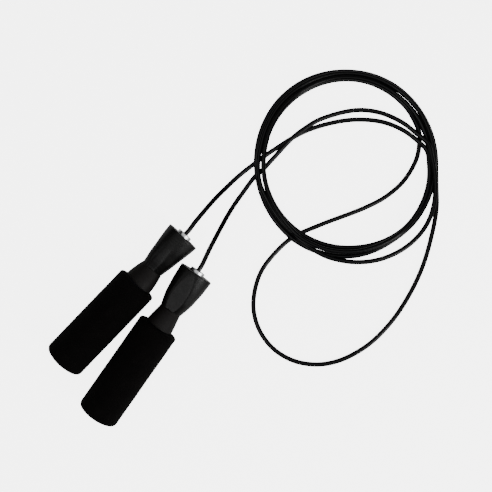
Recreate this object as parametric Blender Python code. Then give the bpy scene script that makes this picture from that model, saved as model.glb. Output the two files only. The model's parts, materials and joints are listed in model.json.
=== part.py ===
"""A jump rope: two foam-gripped handles on ball bearings, and one cord that lies coiled beside them.

Metres, +Z up. The origin is on the floor, under the middle of the box round the two handles.
Each handle is drawn about its own axis, with local +Z towards the cord and Z = 0 at the end of its nose.
"""

import math

import bmesh
import bpy
from mathutils import Matrix, Vector

# ---- Driving sizes ------------------------------------------------------------------------------

MM = 0.001
FLOOR = 0.0
SEAT_GAP = 0.20 * MM          # between two faces that rest on each other
RUNNING_GAP = 0.15 * MM       # between two faces that turn past each other

CORD_RADIUS = 2.0 * MM
CORD_LIFT = 0.1 * MM          # keeps the cord's facets off the floor
CORD_STEP = 3.1               # cord diameters between two points of a tube

GRIP_RADIUS = 17.75 * MM      # foam sleeve
GRIP_LENGTH = 92.2 * MM
GRIP_EDGE = 2.0 * MM          # rounding of the foam's open edge
GRIP_END_FLAT = 6.0 * MM      # radius of the flat in the middle of the closed end
GRIP_END_WALL = 8.9 * MM      # foam beyond the end of the tube
GRIP_PLAY = 1.0 * MM          # from each grip to the point between the two handles
GRIP_SIDES = 36

NOSE_LENGTH = 54.4 * MM       # from the end of the nose to the foam
NOSE_RADIUS = 14.8 * MM       # at the nose's end
NOSE_EDGE = 0.5 * MM
TUBE_RADIUS = 10.5 * MM       # the handle's tube, inside the foam
TUBE_WALL = 2.0 * MM
SHOULDER_WALL = 2.5 * MM      # the wall that the bearing sits on
SHOULDER_PLAY = 1.4 * MM      # between the washer and the hole in that wall
NOSE_PLAY = 3.2 * MM          # between the ferrule and the hollow in the nose
FLAT_STEPS = 3                # edges across each flat of the nose
CURVE_STEPS = 4               # edges between two flats

CORD_PLAY = 0.5 * MM          # between the cord and the bearing's bore
RING_WALL = 0.94 * MM         # of each of the bearing's rings, behind its groove
RING_SIDES = 36
INNER_SIDES = 28              # of the inner ring and the shields
BEARING_WIDTH = 5.0 * MM
BEARING_PROUD = 2.5 * MM      # how far it stands out of the nose
BALLS = 7
BALL_RADIUS = 1.0 * MM
GROOVE_GAP = 0.06 * MM        # between a ball and its groove
GROOVE_DEPTH = 0.30 * MM      # of a groove below its ring's land
RING_CHAMFER = 0.25 * MM
SHIELD_THICKNESS = 0.35 * MM
SHIELD_INSET = 0.25 * MM      # of a shield from the ring's face
CAGE_THICKNESS = 0.7 * MM
CAGE_RAIL = 0.19 * MM         # beside each pocket
CAGE_SIDES = 6 * BALLS
POCKET_GAP = 0.16 * MM
POCKET_SIDES = 12

WASHER_THICKNESS = 1.0 * MM
WASHER_INSET = 0.14 * MM      # of its edge from the land of the bearing's inner ring
FERRULE_LENGTH = 9.0 * MM
FERRULE_WALL = 1.1 * MM
FERRULE_CRIMP = 0.45 * MM     # depth of the crimped waist
CRIMP_LENGTH = 2.7 * MM       # of the waist's narrowest stretch
CRIMP_SLOPE = 0.9 * MM        # length of each slope down to it
CRIMP_SIDES = 20              # of the washer and the ferrule
CORD_HOLE_GAP = 0.2 * MM      # round the cord in the washer and the ferrule
CORD_END = 0.6 * MM           # cord that shows behind the ferrule

COIL_CENTRE = Vector((181.5, 134.8)) * MM
COIL_RADIUS = 73.1 * MM       # of the middle of its turns, across X
COIL_STRETCH = 1.027          # how much longer it is along Y
COIL_WIDTH = 10.6 * MM
COIL_HEIGHT = 8.4 * MM
COIL_ROUND = 3.0 * MM
COIL_SIDES = 64
COIL_GAP = 0.3 * MM           # between the coil and a stretch of cord that ends at it

# The two handles lie on either side of one point. Each row gives the side its handle is on, the way it
# points, how far its nose reaches past that point, and how far it is rolled about its axis.
BETWEEN_HANDLES = Vector((8.397, 9.359)) * MM
HANDLES = {
    "a": {"side": 1, "heading": 46.1, "ahead": 70.755 * MM, "roll": 86.0},
    "b": {"side": -1, "heading": 54.9, "ahead": 54.172 * MM, "roll": -5.5},
}

# The nose, from its end to the foam. Above the waist it is a round flare with four flats: two wide ones,
# and two narrow ones between them. Below the waist it is a plain oval. Each row gives the distance from
# the end of a nose of DRAWN_LENGTH, how far the curves between the flats are inside NOSE_RADIUS, and half
# the angle that a wide and a narrow flat take up.
DRAWN_LENGTH = 54.4 * MM
NOSE_SECTIONS = (
    (1.5, 0.0, 2.0, 2.0),
    (3.6, 0.05, 12.0, 2.0),
    (6.0, 0.15, 17.0, 2.0),
    (10.2, 0.35, 23.5, 2.0),
    (14.3, 0.65, 27.5, 5.0),
    (18.4, 1.10, 30.5, 10.0),
    (22.6, 1.55, 32.5, 14.0),
    (26.7, 2.10, 33.0, 17.0),
    (30.8, 3.05, 32.0, 18.5),
    (34.6, 4.10, 28.0, 19.3),
    (36.4, 4.60, 26.0, 19.3),
)
# Below the waist: distance from the end, and the radii across the wide and the narrow flats.
NECK_SECTIONS = (
    (37.4, 9.80, 9.50),
    (39.9, 10.50, 9.75),
    (43.2, 11.25, 10.30),
    (46.5, 11.90, 10.90),
    (49.8, 12.35, 11.45),
)
FOOT_STEP = (2.25 * MM, 1.5 * MM)        # how far the nose stands out from the tube where it meets the foam
BORE_END_ROW = 2                         # the nose's hollow widens to the tube's from this neck section on

# The foam's closed end: distance from its tip, and how far inside the grip's radius it is.
GRIP_END = ((1.0, 8.0), (2.6, 3.15), (4.3, 1.25), (6.0, 0.35), (7.6, 0.0))

# Where the cord runs outside the coil, in millimetres. The handle's ends of the two leads are added below.
LEADS = {
    "a": [(53.1, 84.4, 17.0), (61.6, 94.9, 14.4), (70.2, 105.2, 9.6), (79.5, 114.9, 4.8),
          (89.3, 124.3, 2.3), (102.9, 135.1, 2.1)],
    "b": [(65.7, 62.9, 16.4), (72.0, 75.3, 12.6), (78.3, 87.4, 7.6), (85.1, 99.0, 3.6),
          (92.9, 110.2, 2.1), (103.7, 124.5, 2.1)],
}
CROSSINGS = {
    "a": [(108.5, 139.3, 2.1), (121.0, 147.8, 2.1), (145.2, 162.1, 2.1), (171.2, 170.0, 2.1),
          (191.4, 172.1, 2.1), (211.6, 169.8, 2.3), (228.5, 162.7, 5.0), (240.7, 152.9, 6.6),
          (248.5, 145.1, 6.6)],
    "b": [(108.5, 128.5, 2.1), (119.5, 140.1, 4.6), (133.4, 155.0, 6.6), (145.0, 164.1, 6.2),
          (158.5, 172.1, 2.4), (187.4, 179.7, 2.1), (207.7, 177.9, 2.1), (226.5, 170.3, 4.6),
          (238.5, 161.9, 6.6), (248.5, 152.1, 6.6)],
}
RETURN = [(136.5, 72.4, 2.1), (158.9, 83.2, 2.1), (196.8, 97.8, 2.1), (214.7, 107.4, 2.1),
          (229.8, 121.0, 2.1), (239.9, 138.5, 2.1), (242.4, 150.4, 2.1), (241.5, 161.5, 2.1),
          (234.5, 178.9, 2.1)]
LOOP = [(136.5, 73.2, 2.1), (124.5, 63.7, 2.1), (107.9, 42.3, 2.1), (101.9, 16.1, 2.1),
        (106.0, -3.7, 2.1), (117.5, -20.5, 2.1), (134.5, -31.4, 2.1), (154.4, -35.2, 2.1),
        (174.5, -31.9, 2.1), (198.4, -19.1, 2.1), (217.7, -0.3, 2.1), (233.0, 22.1, 2.1),
        (244.8, 46.5, 2.1), (252.6, 72.5, 2.1), (257.1, 96.9, 2.1), (257.0, 115.9, 2.1)]

# ---- Sizes that follow from those ---------------------------------------------------------------

RING_POINTS = 4 * (FLAT_STEPS + CURVE_STEPS)
ROUND_HALF = 90.0 * FLAT_STEPS / (FLAT_STEPS + CURVE_STEPS) / 2   # spaces a round section's points evenly
NOSE_STRETCH = -MM * NOSE_LENGTH / DRAWN_LENGTH
BEARING_FACE = BEARING_PROUD
BEARING_BACK = BEARING_PROUD - BEARING_WIDTH
BEARING_MIDDLE = (BEARING_FACE + BEARING_BACK) / 2
BEARING_BORE = CORD_RADIUS + CORD_PLAY
GROOVE_RADIUS = BALL_RADIUS + GROOVE_GAP
PITCH_RADIUS = BEARING_BORE + RING_WALL + GROOVE_RADIUS    # from the axis to a ball's centre
BEARING_RADIUS = PITCH_RADIUS + GROOVE_RADIUS + RING_WALL
CAGE_LENGTH = 2 * (BALL_RADIUS + POCKET_GAP + CAGE_RAIL)
OUTER_LAND = PITCH_RADIUS + GROOVE_RADIUS - GROOVE_DEPTH
INNER_LAND = PITCH_RADIUS - GROOVE_RADIUS + GROOVE_DEPTH
SHIELD_RADIUS = OUTER_LAND + GROOVE_DEPTH
POCKET_FLOOR = BEARING_BACK - SEAT_GAP
WASHER_TOP = BEARING_BACK - SEAT_GAP
WASHER_RADIUS = INNER_LAND - WASHER_INSET
CORD_HOLE = CORD_RADIUS + CORD_HOLE_GAP
FERRULE_RADIUS = CORD_HOLE + FERRULE_WALL
SHOULDER_HOLE = WASHER_RADIUS + SHOULDER_PLAY
NOSE_BORE = FERRULE_RADIUS + NOSE_PLAY
FERRULE_TOP = WASHER_TOP - WASHER_THICKNESS - SEAT_GAP
CORD_TAIL = FERRULE_TOP - FERRULE_LENGTH - CORD_END
TUBE_END = -NOSE_LENGTH - GRIP_LENGTH + GRIP_END_WALL
AXIS_HEIGHT = FLOOR + GRIP_RADIUS


def material(name, colour, roughness, metallic=0.0):
    made = bpy.data.materials.new(name)
    made.use_nodes = True
    shader = made.node_tree.nodes["Principled BSDF"]
    shader.inputs["Base Color"].default_value = (*colour, 1.0)
    shader.inputs["Roughness"].default_value = roughness
    shader.inputs["Metallic"].default_value = metallic
    return made


def finish(name, bm, look, parent=None, sharp=30.0):
    """A mesh object made from bm, its faces turned outwards and its round faces shaded smooth."""
    bmesh.ops.recalc_face_normals(bm, faces=bm.faces)
    mesh = bpy.data.meshes.new(name)
    bm.to_mesh(mesh)
    bm.free()
    mesh.shade_smooth()
    mesh.set_sharp_from_angle(angle=math.radians(sharp))
    mesh.materials.append(look)
    made = bpy.data.objects.new(name, mesh)
    bpy.context.scene.collection.objects.link(made)
    made.parent = parent
    return made


def skin(bm, rings, closed):
    """Faces between neighbouring rings of points. Where the row of rings isn't closed, its ends are capped."""
    pairs = list(zip(rings, rings[1:]))
    if closed:
        pairs.append((rings[-1], rings[0]))
    else:
        bm.faces.new(rings[0])
        bm.faces.new(rings[-1])
    for one, other in pairs:
        for i in range(len(one)):
            bm.faces.new((one[i - 1], one[i], other[i], other[i - 1]))


def turned(name, profile, segments, look, parent=None, closed=True):
    """A solid turned about Z. profile lists (radius, z) round its section, or from cap to cap."""
    bm = bmesh.new()
    rings = []
    for radius, z in profile:
        angles = (math.tau * i / segments for i in range(segments))
        rings.append([bm.verts.new((radius * math.cos(a), radius * math.sin(a), z)) for a in angles])
    skin(bm, rings, closed)
    return finish(name, bm, look, parent)


# ---- Handle: moulded nose and tube, and the foam on it --------------------------------------------


def nose_ring(bm, z, radius, half_wide, half_narrow):
    """One section of the flare. Each flat is a chord of the round outline, as wide as its half angle says."""
    points = []
    for quarter in range(4):
        halves = (half_wide, half_narrow)
        half, half_next = halves[quarter % 2], halves[1 - quarter % 2]
        base = 90.0 * quarter
        span = 90.0 - half - half_next
        across = [half * (2 * k / FLAT_STEPS - 1) for k in range(FLAT_STEPS + 1)]
        flat = [(base + angle, angle) for angle in across]
        curve = [(base + half + span * k / CURVE_STEPS, half) for k in range(1, CURVE_STEPS)]
        for angle, off in flat + curve:
            turn = math.radians(angle)
            reach = radius * math.cos(math.radians(half)) / math.cos(math.radians(off))
            points.append(bm.verts.new((reach * math.cos(turn), reach * math.sin(turn), z)))
    return points


def oval_ring(bm, z, across_wide, across_narrow):
    """A plain section with as many points as nose_ring gives, evenly spaced."""
    start = math.radians(-ROUND_HALF)
    turns = (start + math.tau * i / RING_POINTS for i in range(RING_POINTS))
    return [bm.verts.new((across_wide * math.cos(t), across_narrow * math.sin(t), z)) for t in turns]


def round_ring(bm, z, radius):
    return oval_ring(bm, z, radius, radius)


def handle_core(name, look, parent):
    """The nose with its bearing seat, and the tube that the foam is pushed onto, as one moulding."""
    bm = bmesh.new()
    seat = BEARING_RADIUS + SEAT_GAP
    inside = TUBE_RADIUS - TUBE_WALL
    shoulder_back = POCKET_FLOOR - SHOULDER_WALL
    bore_end = NECK_SECTIONS[BORE_END_ROW][0] * NOSE_STRETCH
    foot = -NOSE_LENGTH + SEAT_GAP
    rings = [round_ring(bm, POCKET_FLOOR, SHOULDER_HOLE),
             round_ring(bm, POCKET_FLOOR, seat),
             round_ring(bm, 0.0, seat),
             round_ring(bm, 0.0, NOSE_RADIUS - NOSE_EDGE),
             round_ring(bm, -NOSE_EDGE, NOSE_RADIUS)]
    for down, inset, wide, narrow in NOSE_SECTIONS:
        rings.append(nose_ring(bm, down * NOSE_STRETCH, NOSE_RADIUS - inset * MM, wide, narrow))
    for down, wide, narrow in NECK_SECTIONS:
        rings.append(oval_ring(bm, down * NOSE_STRETCH, wide * MM, narrow * MM))
    rings += [oval_ring(bm, foot, TUBE_RADIUS + FOOT_STEP[0], TUBE_RADIUS + FOOT_STEP[1]),
              round_ring(bm, foot, TUBE_RADIUS),
              round_ring(bm, TUBE_END, TUBE_RADIUS),
              round_ring(bm, TUBE_END, inside),
              round_ring(bm, bore_end - (inside - NOSE_BORE), inside),
              round_ring(bm, bore_end, NOSE_BORE),
              round_ring(bm, shoulder_back, NOSE_BORE),
              round_ring(bm, shoulder_back, SHOULDER_HOLE)]
    skin(bm, rings, closed=True)
    return finish(name, bm, look, parent)


def foam_grip(name, look, parent):
    """The foam sleeve: open at the nose, closed and gently domed at the other end."""
    top = -NOSE_LENGTH
    tip = top - GRIP_LENGTH
    bore = TUBE_RADIUS + SEAT_GAP
    bore_end = TUBE_END - SEAT_GAP
    edge_in = GRIP_EDGE * (1 - math.sqrt(0.5))
    profile = [(bore, bore_end), (bore, top), (GRIP_RADIUS - GRIP_EDGE, top),
               (GRIP_RADIUS - edge_in, top - edge_in), (GRIP_RADIUS, top - GRIP_EDGE)]
    profile += [(GRIP_RADIUS - inside * MM, tip + up * MM) for up, inside in reversed(GRIP_END)]
    profile.append((GRIP_END_FLAT, tip))
    return turned(name, profile, GRIP_SIDES, look, parent, closed=False)


# ---- Ball bearing ---------------------------------------------------------------------------------


def groove(land, side):
    """(radius, z) points along a ball groove: side is 1 for the outer ring and -1 for the inner one."""
    rise = abs(land - PITCH_RADIUS)
    half = math.acos(rise / GROOVE_RADIUS)
    turns = (half * k for k in (-1, -0.5, 0, 0.5, 1))
    return [(PITCH_RADIUS + side * GROOVE_RADIUS * math.cos(t),
             BEARING_MIDDLE + GROOVE_RADIUS * math.sin(t)) for t in turns]


def outer_ring(name, look, parent):
    rebate = SHIELD_INSET + SHIELD_THICKNESS + SEAT_GAP
    low, high = BEARING_BACK, BEARING_FACE
    seat = SHIELD_RADIUS
    profile = [(seat, low), (seat, low + rebate), (OUTER_LAND, low + rebate)]
    profile += groove(OUTER_LAND, 1)
    profile += [(OUTER_LAND, high - rebate), (seat, high - rebate), (seat, high),
                (BEARING_RADIUS - RING_CHAMFER, high), (BEARING_RADIUS, high - RING_CHAMFER),
                (BEARING_RADIUS, low + RING_CHAMFER), (BEARING_RADIUS - RING_CHAMFER, low)]
    return turned(name, profile, RING_SIDES, look, parent)


def inner_ring(name, look, parent):
    low, high = BEARING_BACK, BEARING_FACE
    profile = [(BEARING_BORE, low), (BEARING_BORE, high), (INNER_LAND, high)]
    profile += reversed(groove(INNER_LAND, -1))
    profile.append((INNER_LAND, low))
    return turned(name, profile, INNER_SIDES, look, parent)


def shield(name, middle, look, parent):
    """A pressed steel ring that closes the gap between the bearing's two rings."""
    inner, outer = INNER_LAND + RUNNING_GAP, SHIELD_RADIUS - SEAT_GAP / 2
    low, high = middle - SHIELD_THICKNESS / 2, middle + SHIELD_THICKNESS / 2
    section = [(inner, low), (inner, high), (outer, high), (outer, low)]
    return turned(name, section, INNER_SIDES, look, parent)


def ball_place(number):
    turn = math.tau * number / BALLS
    return Vector((PITCH_RADIUS * math.cos(turn), PITCH_RADIUS * math.sin(turn), BEARING_MIDDLE))


def ball(name, number, look, parent):
    bm = bmesh.new()
    bmesh.ops.create_icosphere(bm, subdivisions=2, radius=BALL_RADIUS)
    made = finish(name, bm, look, parent, sharp=60.0)
    made.location = ball_place(number)
    return made


def cage(name, look, parent):
    """The ring that keeps the balls apart, with a round pocket through it for each of them."""
    inner, outer = PITCH_RADIUS - CAGE_THICKNESS / 2, PITCH_RADIUS + CAGE_THICKNESS / 2
    low, high = BEARING_MIDDLE - CAGE_LENGTH / 2, BEARING_MIDDLE + CAGE_LENGTH / 2
    section = [(inner, low), (inner, high), (outer, high), (outer, low)]
    made = turned(name, section, CAGE_SIDES, look, parent)
    bm = bmesh.new()
    for number in range(BALLS):
        place = ball_place(number)
        outwards = Vector((place.x, place.y, 0.0)).to_track_quat("Z", "Y").to_matrix().to_4x4()
        bmesh.ops.create_cone(bm, segments=POCKET_SIDES, cap_ends=True, radius1=BALL_RADIUS + POCKET_GAP,
                              radius2=BALL_RADIUS + POCKET_GAP, depth=4 * CAGE_THICKNESS,
                              matrix=Matrix.Translation(place) @ outwards)
    pockets = finish(name + "_pockets", bm, look, parent)
    pockets.hide_render = True
    pockets.display_type = "WIRE"
    cut = made.modifiers.new("Pockets", "BOOLEAN")
    cut.object = pockets
    return made


# ---- What is on the end of the cord, inside the handle ---------------------------------------------


def washer(name, look, parent):
    low = WASHER_TOP - WASHER_THICKNESS
    profile = [(CORD_HOLE, low), (CORD_HOLE, WASHER_TOP), (WASHER_RADIUS, WASHER_TOP), (WASHER_RADIUS, low)]
    return turned(name, profile, CRIMP_SIDES, look, parent)


def ferrule(name, look, parent):
    """The sleeve crimped on the cord's end, narrowed in the middle by the crimp."""
    low = FERRULE_TOP - FERRULE_LENGTH
    middle = FERRULE_TOP - FERRULE_LENGTH / 2
    waist = FERRULE_RADIUS - FERRULE_CRIMP
    narrow = CRIMP_LENGTH / 2
    wide = narrow + CRIMP_SLOPE
    profile = [(CORD_HOLE, low), (CORD_HOLE, FERRULE_TOP), (FERRULE_RADIUS, FERRULE_TOP),
               (FERRULE_RADIUS, middle + wide), (waist, middle + narrow), (waist, middle - narrow),
               (FERRULE_RADIUS, middle - wide), (FERRULE_RADIUS, low)]
    return turned(name, profile, CRIMP_SIDES, look, parent)


# ---- Cord -----------------------------------------------------------------------------------------


def smooth(points, per_span=40):
    """Points along one smooth curve through the route's points (Catmull-Rom), none of them under the floor."""
    lowest = FLOOR + CORD_RADIUS + CORD_LIFT
    path = [2 * points[0] - points[1], *points, 2 * points[-1] - points[-2]]
    curve = []
    for before, start, end, after in zip(path, path[1:], path[2:], path[3:]):
        for i in range(per_span):
            t = i / per_span
            curve.append(0.5 * (2 * start + (end - before) * t
                                + (2 * before - 5 * start + 4 * end - after) * t * t
                                + (3 * start - before - 3 * end + after) * t ** 3))
    curve.append(points[-1])
    return [Vector((point.x, point.y, max(point.z, lowest))) for point in curve]


def from_coil(point):
    """Distance from the middle of the coil, counted as if the coil were a true circle."""
    offset = point - COIL_CENTRE.to_3d()
    return math.hypot(offset.x, offset.y / COIL_STRETCH)


def trimmed(curve, inside):
    """The part of the curve whose whole width is clear of the coil, on its inside or its outside."""
    kept = []
    for before, point, after in zip(curve, curve[1:], curve[2:]):
        along = (after - before).to_2d().normalized()
        side = Vector((-along.y, along.x, 0.0)) * CORD_RADIUS
        reach = [from_coil(point + side), from_coil(point - side), from_coil(point)]
        if inside:
            clear = max(reach) < COIL_RADIUS - COIL_WIDTH / 2 - COIL_GAP
        else:
            clear = min(reach) > COIL_RADIUS + COIL_WIDTH / 2 + COIL_GAP
        if clear:
            kept.append(point)
    return kept


def spaced(curve, step):
    """Points along the curve at equal distances near step, with both ends kept."""
    lengths = [0.0]
    for one, other in zip(curve, curve[1:]):
        lengths.append(lengths[-1] + (other - one).length)
    count = max(2, round(lengths[-1] / step))
    points, at = [], 0
    for i in range(count + 1):
        wanted = lengths[-1] * i / count
        while at < len(curve) - 2 and lengths[at + 1] < wanted:
            at += 1
        share = (wanted - lengths[at]) / (lengths[at + 1] - lengths[at])
        points.append(curve[at].lerp(curve[at + 1], min(1.0, share)))
    return points


def tube(name, points, look):
    """A length of cord along the points, capped at both ends."""
    curve = bpy.data.curves.new(name, "CURVE")
    curve.dimensions = "3D"
    curve.bevel_depth = CORD_RADIUS
    curve.bevel_resolution = 2
    curve.use_fill_caps = True
    spline = curve.splines.new("POLY")
    spline.points.add(len(points) - 1)
    for at, point in zip(spline.points, points):
        at.co = (*point, 1.0)
    spline.use_smooth = True
    curve.materials.append(look)
    made = bpy.data.objects.new(name, curve)
    bpy.context.scene.collection.objects.link(made)
    return made


def route(rows):
    return [Vector(row) * MM for row in rows]


def cord_stretch(name, points, inside, look):
    tube(name, spaced(trimmed(smooth(points), inside), CORD_STEP * 2 * CORD_RADIUS), look)


def lead(name, rows, axle, look):
    """From the ferrule, straight out through the bearing, down to the floor and along it to the coil."""
    stations = (CORD_TAIL, BEARING_BACK, BEARING_FACE, BEARING_FACE + 2 * CORD_RADIUS)
    on_axis = [axle @ Vector((0.0, 0.0, z)) for z in stations]
    cord_stretch(name, on_axis + route(rows), False, look)


def coil(name, look):
    """The outer shape of the wound turns: a flat-bottomed ring that stands on the floor."""
    middle = COIL_HEIGHT / 2
    corners = ((1, 1), (-1, 1), (-1, -1), (1, -1))
    profile = []
    for across, up in corners:
        for tilt in (0.0, 0.5, 1.0):
            turn = math.radians(90.0 * tilt)
            out = math.cos(turn) if across * up > 0 else math.sin(turn)
            high = math.sin(turn) if across * up > 0 else math.cos(turn)
            profile.append((COIL_RADIUS + across * (COIL_WIDTH / 2 - COIL_ROUND + COIL_ROUND * out),
                            FLOOR + middle + up * (middle - COIL_ROUND + COIL_ROUND * high)))
    made = turned(name, profile, COIL_SIDES, look)
    shape = Matrix.Translation(COIL_CENTRE.to_3d()) @ Matrix.Diagonal((1.0, COIL_STRETCH, 1.0, 1.0))
    made.data.transform(shape)
    return made


# ---- The whole rope -------------------------------------------------------------------------------


def main():
    for old in list(bpy.data.objects):
        bpy.data.objects.remove(old, do_unlink=True)

    plastic = material("Moulded black plastic", (0.018, 0.017, 0.017), 0.38)
    foam = material("Black foam", (0.012, 0.011, 0.011), 0.95)
    pvc = material("Black PVC cord", (0.010, 0.010, 0.011), 0.22)
    steel = material("Polished bearing steel", (0.72, 0.73, 0.74), 0.18, 1.0)
    zinc = material("Zinc-plated steel", (0.62, 0.63, 0.64), 0.35, 1.0)
    aluminium = material("Aluminium", (0.80, 0.81, 0.82), 0.40, 1.0)

    for side, place in HANDLES.items():
        axle = bpy.data.objects.new("handle_axis_" + side, None)
        bpy.context.scene.collection.objects.link(axle)
        heading = math.radians(place["heading"])
        along = Vector((math.cos(heading), math.sin(heading), 0.0))
        up = Vector((0.0, 0.0, 1.0))
        # Local Z runs along the handle, and local X points straight up before the roll.
        stand = Matrix((up, along.cross(up), along)).transposed()
        left = up.cross(along)
        nose = (BETWEEN_HANDLES.to_3d() + place["side"] * (GRIP_RADIUS + GRIP_PLAY) * left
                + place["ahead"] * along)
        frame = Matrix.Translation((nose.x, nose.y, AXIS_HEIGHT)) @ stand.to_4x4()
        axle.matrix_world = frame @ Matrix.Rotation(math.radians(place["roll"]), 4, "Z")

        handle_core("handle_core_" + side, plastic, axle)
        foam_grip("foam_grip_" + side, foam, axle)
        outer_ring("bearing_outer_ring_" + side, steel, axle)
        inner_ring("bearing_inner_ring_" + side, steel, axle)
        inset = SHIELD_INSET + SHIELD_THICKNESS / 2
        shield("bearing_front_shield_" + side, BEARING_FACE - inset, zinc, axle)
        shield("bearing_rear_shield_" + side, BEARING_BACK + inset, zinc, axle)
        cage("bearing_cage_" + side, zinc, axle)
        for number in range(BALLS):
            ball(f"bearing_ball_{side}{number + 1}", number, steel, axle)
        washer("stop_washer_" + side, zinc, axle)
        ferrule("cord_ferrule_" + side, aluminium, axle)
        lead("cord_lead_" + side, LEADS[side], frame, pvc)
        cord_stretch("cord_crossing_" + side, route(CROSSINGS[side]), True, pvc)

    cord_stretch("cord_return", route(RETURN), True, pvc)
    cord_stretch("cord_loop", route(LOOP), False, pvc)
    coil("cord_coil", pvc)


main()
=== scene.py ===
"""Looks of a jump rope: foam grips, moulded noses with ball bearings, and one long cord that lies coiled.

Metres, +Z up. Each handle is drawn about its own axis, with Z = 0 at the end of its nose and Z along it
towards the cord.
"""

import json
import math

import bmesh
import bpy
import numpy as np
from mathutils import Matrix, Vector, noise


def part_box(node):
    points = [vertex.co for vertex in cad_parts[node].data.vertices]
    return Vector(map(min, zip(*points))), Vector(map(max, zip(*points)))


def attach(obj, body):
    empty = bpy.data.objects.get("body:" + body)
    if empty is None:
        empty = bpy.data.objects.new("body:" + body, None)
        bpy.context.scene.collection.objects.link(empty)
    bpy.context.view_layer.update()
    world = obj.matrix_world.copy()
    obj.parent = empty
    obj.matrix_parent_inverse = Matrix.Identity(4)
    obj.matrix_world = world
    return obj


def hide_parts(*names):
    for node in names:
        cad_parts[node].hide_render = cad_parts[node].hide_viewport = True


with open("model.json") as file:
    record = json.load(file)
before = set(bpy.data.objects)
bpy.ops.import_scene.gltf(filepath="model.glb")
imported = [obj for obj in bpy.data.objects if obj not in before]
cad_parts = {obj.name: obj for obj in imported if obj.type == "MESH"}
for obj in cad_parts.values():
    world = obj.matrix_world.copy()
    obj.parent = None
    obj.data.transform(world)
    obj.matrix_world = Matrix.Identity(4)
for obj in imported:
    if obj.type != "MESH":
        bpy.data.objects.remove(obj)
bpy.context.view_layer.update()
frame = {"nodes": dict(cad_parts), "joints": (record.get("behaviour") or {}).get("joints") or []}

NODES = frame["nodes"]
JOINTS = {joint["name"]: joint for joint in frame["joints"]}

# ---- Sizes ----------------------------------------------------------------------------------------

MM = 0.001
SIDES = "ab"

CORD_RADIUS = 2.0 * MM
CORD_LIFT = 0.1 * MM                      # of the cord off the floor
CORD_TAIL = -13.5 * MM                    # where the cord ends inside the handle

GRIP_RADIUS = 17.75 * MM
GRIP_LENGTH = 92.2 * MM
GRIP_END_WALL = 8.9 * MM                  # foam beyond the end of the tube
GRIP_EDGE = 2.0 * MM                      # rounding of the foam's open edge
GRIP_CORNER = 4.0 * MM                    # rounding where its side meets its closed end
GRIP_CORNER_TURN = math.radians(68.0)     # how far that corner turns before the dome takes over
SEAT_GAP = 0.2 * MM                       # between the foam and the tube

NOSE_LENGTH = 54.4 * MM
NOSE_RADIUS = 14.8 * MM
NOSE_EDGE = 0.6 * MM
TUBE_RADIUS = 10.5 * MM
TUBE_WALL = 2.0 * MM
TUBE_FUNNEL = (45.2 * MM, 43.2 * MM)      # where the tube's inside narrows to the hollow in the nose
NOSE_HOLLOW = 6.5 * MM                    # radius
SEAT_RADIUS = 6.7 * MM                    # of the pocket that the bearing sits in
SEAT_DEPTH = 2.7 * MM
SEAT_CHAMFER = 0.25 * MM
SHOULDER_BACK = 5.2 * MM                  # the far face of the wall behind the bearing
SHOULDER_HOLE = 5.0 * MM                  # radius

BEARING_RADIUS = 6.5 * MM
BEARING_FACE = 2.5 * MM                   # how far it stands out of the nose
BEARING_BACK = BEARING_FACE - 5.0 * MM
BORE_RADIUS = 2.5 * MM
BORE_CHAMFER = 0.2 * MM
RACE_CHAMFER = 0.3 * MM
PITCH_RADIUS = 4.5 * MM                   # the circle that the balls' middles run on
LAND_OUTER = 5.26 * MM                    # beside the grooves
LAND_INNER = 3.74 * MM
GROOVE = 1.06 * MM                        # radius of each groove's section
COVER_SEAT = 5.56 * MM                    # radius of the step that holds each cover
COVER_STEP = 0.8 * MM                     # its depth
COVER_INSET = 0.425 * MM                  # from a bearing's face to the middle of its cover
BALLS = 7
BALL_RADIUS = 1.0 * MM

# ---- Camera ---------------------------------------------------------------------------------------

CAMERA_PLACE = (0.0957, 0.0652, 0.637)    # it looks straight down, with +Y up in the picture
VIEW_WIDTH = 0.4182                       # width of the floor that it sees
SENSOR = 36.0
NEAREST_SEEN = 0.01


def add_object(name, data):
    made = bpy.data.objects.new(name, data)
    bpy.context.scene.collection.objects.link(made)
    return made


def camera():
    made = bpy.data.cameras.new("camera")
    made.sensor_width = SENSOR
    made.lens = SENSOR * CAMERA_PLACE[2] / VIEW_WIDTH
    made.clip_start = NEAREST_SEEN
    holder = add_object("camera", made)
    holder.location = CAMERA_PLACE
    bpy.context.scene.camera = holder


# ---- Shader building ------------------------------------------------------------------------------


def set_sockets(node, values):
    """Gives a node's sockets plain values. A socket's name has _ for each space."""
    for socket, value in values.items():
        node.inputs[socket.replace("_", " ")].default_value = value


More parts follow.
